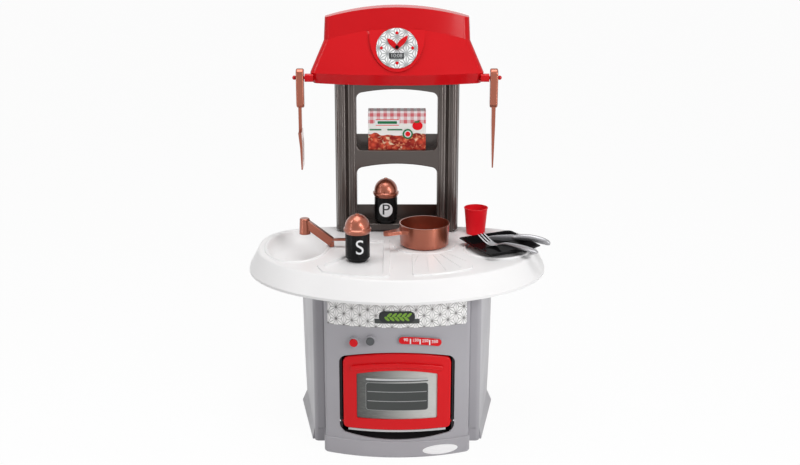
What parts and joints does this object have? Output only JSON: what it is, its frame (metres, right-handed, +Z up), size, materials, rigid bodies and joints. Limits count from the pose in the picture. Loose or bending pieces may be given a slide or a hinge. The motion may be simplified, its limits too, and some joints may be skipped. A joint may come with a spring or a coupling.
{
  "type": "play kitchen",
  "caption": "Toddler's play kitchen: oval worktop with sink and hob, oven base with hinged door, shelved back unit, hood with clock, and toy pans, shakers and cutlery.",
  "frame": {"origin": "floor level, under the middle of the worktop's width and depth", "axes": "+X to the right as the child faces the oven door, +Y away from the child towards the back unit, +Z up"},
  "size_m": [0.5451, 0.349, 0.751],
  "materials": {
    "grey_shell": "satin moulded plastic",
    "grey_panel": "satin moulded plastic",
    "dark_cavity": "matte, fine grained",
    "red_plastic": "glossy moulded plastic",
    "red_metallic": "glossy, slightly metallic",
    "white_top": "glossy moulded plastic",
    "taupe_metallic": "glossy metallic",
    "copper_satin": "satin metallised plastic",
    "black_satin": "satin",
    "black_gloss": "high gloss",
    "cutlery_grey": "satin metallised plastic",
    "dial_white": "printed, glossy",
    "printed_band": "printed film",
    "window_grille": "printed, glossy",
    "carton_print": "printed board",
    "button_grey": "glossy",
    "steel": "zinc plated"
  },
  "bodies": {
    "stand": {"front_shell": "grey_shell", "side_panel_right": "grey_panel", "side_panel_left": "grey_panel", "panel_clips": "grey_panel", "oven_cavity": "dark_cavity", "fascia_band": "printed_band", "scale_plate": "red_plastic", "worktop": "white_top", "back_unit": "taupe_metallic", "hood": "red_metallic", "clock_dial": "dial_white", "clock_hub": "black_gloss", "screws": "steel"},
    "oven_door": {"door_frame": "red_metallic", "door_window": "window_grille"},
    "red_button": {"button_red": "red_plastic"},
    "grey_button": {"button_grey": "button_grey"},
    "hour_hand": {"clock_hour_hand": "red_plastic"},
    "minute_hand": {"clock_minute_hand": "red_plastic"},
    "tap": {"tap_spout": "copper_satin", "tap_lever": "copper_satin", "tap_nut": "black_satin"},
    "turner": {"turner": "copper_satin"},
    "hanging_knife": {"hanging_knife": "copper_satin"},
    "salt_shaker": {"salt_body": "black_satin"},
    "salt_lid": {"salt_cap": "copper_satin"},
    "pepper_shaker": {"pepper_body": "black_satin"},
    "pepper_lid": {"pepper_cap": "copper_satin"},
    "saucepan": {"saucepan": "copper_satin"},
    "cup": {"cup": "red_plastic"},
    "plate": {"plate": "black_gloss"},
    "fork": {"fork": "cutlery_grey"},
    "table_knife": {"table_knife": "cutlery_grey"},
    "carton": {"carton": "carton_print"}
  },
  "joints": [
    {"name": "oven_door_hinge", "type": "hinge", "parent": "stand", "child": "oven_door", "pos_m": [0, -0.128, 0.062], "axis": [1, 0, 0], "range_deg": [0, 90]},
    {"name": "red_button_press", "type": "slide", "parent": "stand", "child": "red_button", "axis": [0.2212, 0.9752, 0], "range_m": [0, 0.0018], "stiffness_N_per_m": 300, "springref_m": -0.001},
    {"name": "grey_button_press", "type": "slide", "parent": "stand", "child": "grey_button", "axis": [0.1363, 0.9907, 0], "range_m": [0, 0.0018], "stiffness_N_per_m": 300, "springref_m": -0.001},
    {"name": "hour_hand_turn", "type": "hinge", "parent": "stand", "child": "hour_hand", "pos_m": [0, 0.11338, 0.68], "axis": [0, -0.9033, 0.4291], "continuous": true},
    {"name": "minute_hand_turn", "type": "hinge", "parent": "stand", "child": "minute_hand", "pos_m": [0, 0.11338, 0.68], "axis": [0, -0.9033, 0.4291], "continuous": true},
    {"name": "tap_swivel", "type": "hinge", "parent": "stand", "child": "tap", "pos_m": [-0.119, 0.04, 0.3295], "axis": [0, 0, 1], "range_deg": [-60, 60]},
    {"name": "turner_swing", "type": "hinge", "parent": "stand", "child": "turner", "pos_m": [-0.1763, 0.12, 0.626], "axis": [1, 0, 0], "range_deg": [-60, 60]},
    {"name": "hanging_knife_swing", "type": "hinge", "parent": "stand", "child": "hanging_knife", "pos_m": [0.1763, 0.12, 0.626], "axis": [1, 0, 0], "range_deg": [-60, 60]},
    {"name": "salt_shaker_lift", "type": "slide", "parent": "stand", "child": "salt_shaker", "axis": [0, 0, 1], "range_m": [0, 0.12]},
    {"name": "salt_lid_pull", "type": "slide", "parent": "salt_shaker", "child": "salt_lid", "axis": [0, 0, 1], "range_m": [0, 0.04]},
    {"name": "pepper_shaker_lift", "type": "slide", "parent": "stand", "child": "pepper_shaker", "axis": [0, 0, 1], "range_m": [0, 0.012]},
    {"name": "pepper_lid_pull", "type": "slide", "parent": "pepper_shaker", "child": "pepper_lid", "axis": [0, 0, 1], "range_m": [0, 0.015]},
    {"name": "saucepan_lift", "type": "slide", "parent": "stand", "child": "saucepan", "axis": [0, 0, 1], "range_m": [0, 0.1]},
    {"name": "cup_lift", "type": "slide", "parent": "stand", "child": "cup", "axis": [0, 0, 1], "range_m": [0, 0.07]},
    {"name": "plate_lift", "type": "slide", "parent": "stand", "child": "plate", "axis": [0, 0, 1], "range_m": [0, 0.1]},
    {"name": "fork_lift", "type": "slide", "parent": "plate", "child": "fork", "axis": [0, 0, 1], "range_m": [0, 0.08]},
    {"name": "table_knife_lift", "type": "slide", "parent": "plate", "child": "table_knife", "axis": [0, 0, 1], "range_m": [0, 0.08]},
    {"name": "carton_lift", "type": "slide", "parent": "stand", "child": "carton", "axis": [0, 0, 1], "range_m": [0, 0.03]}
  ]
}
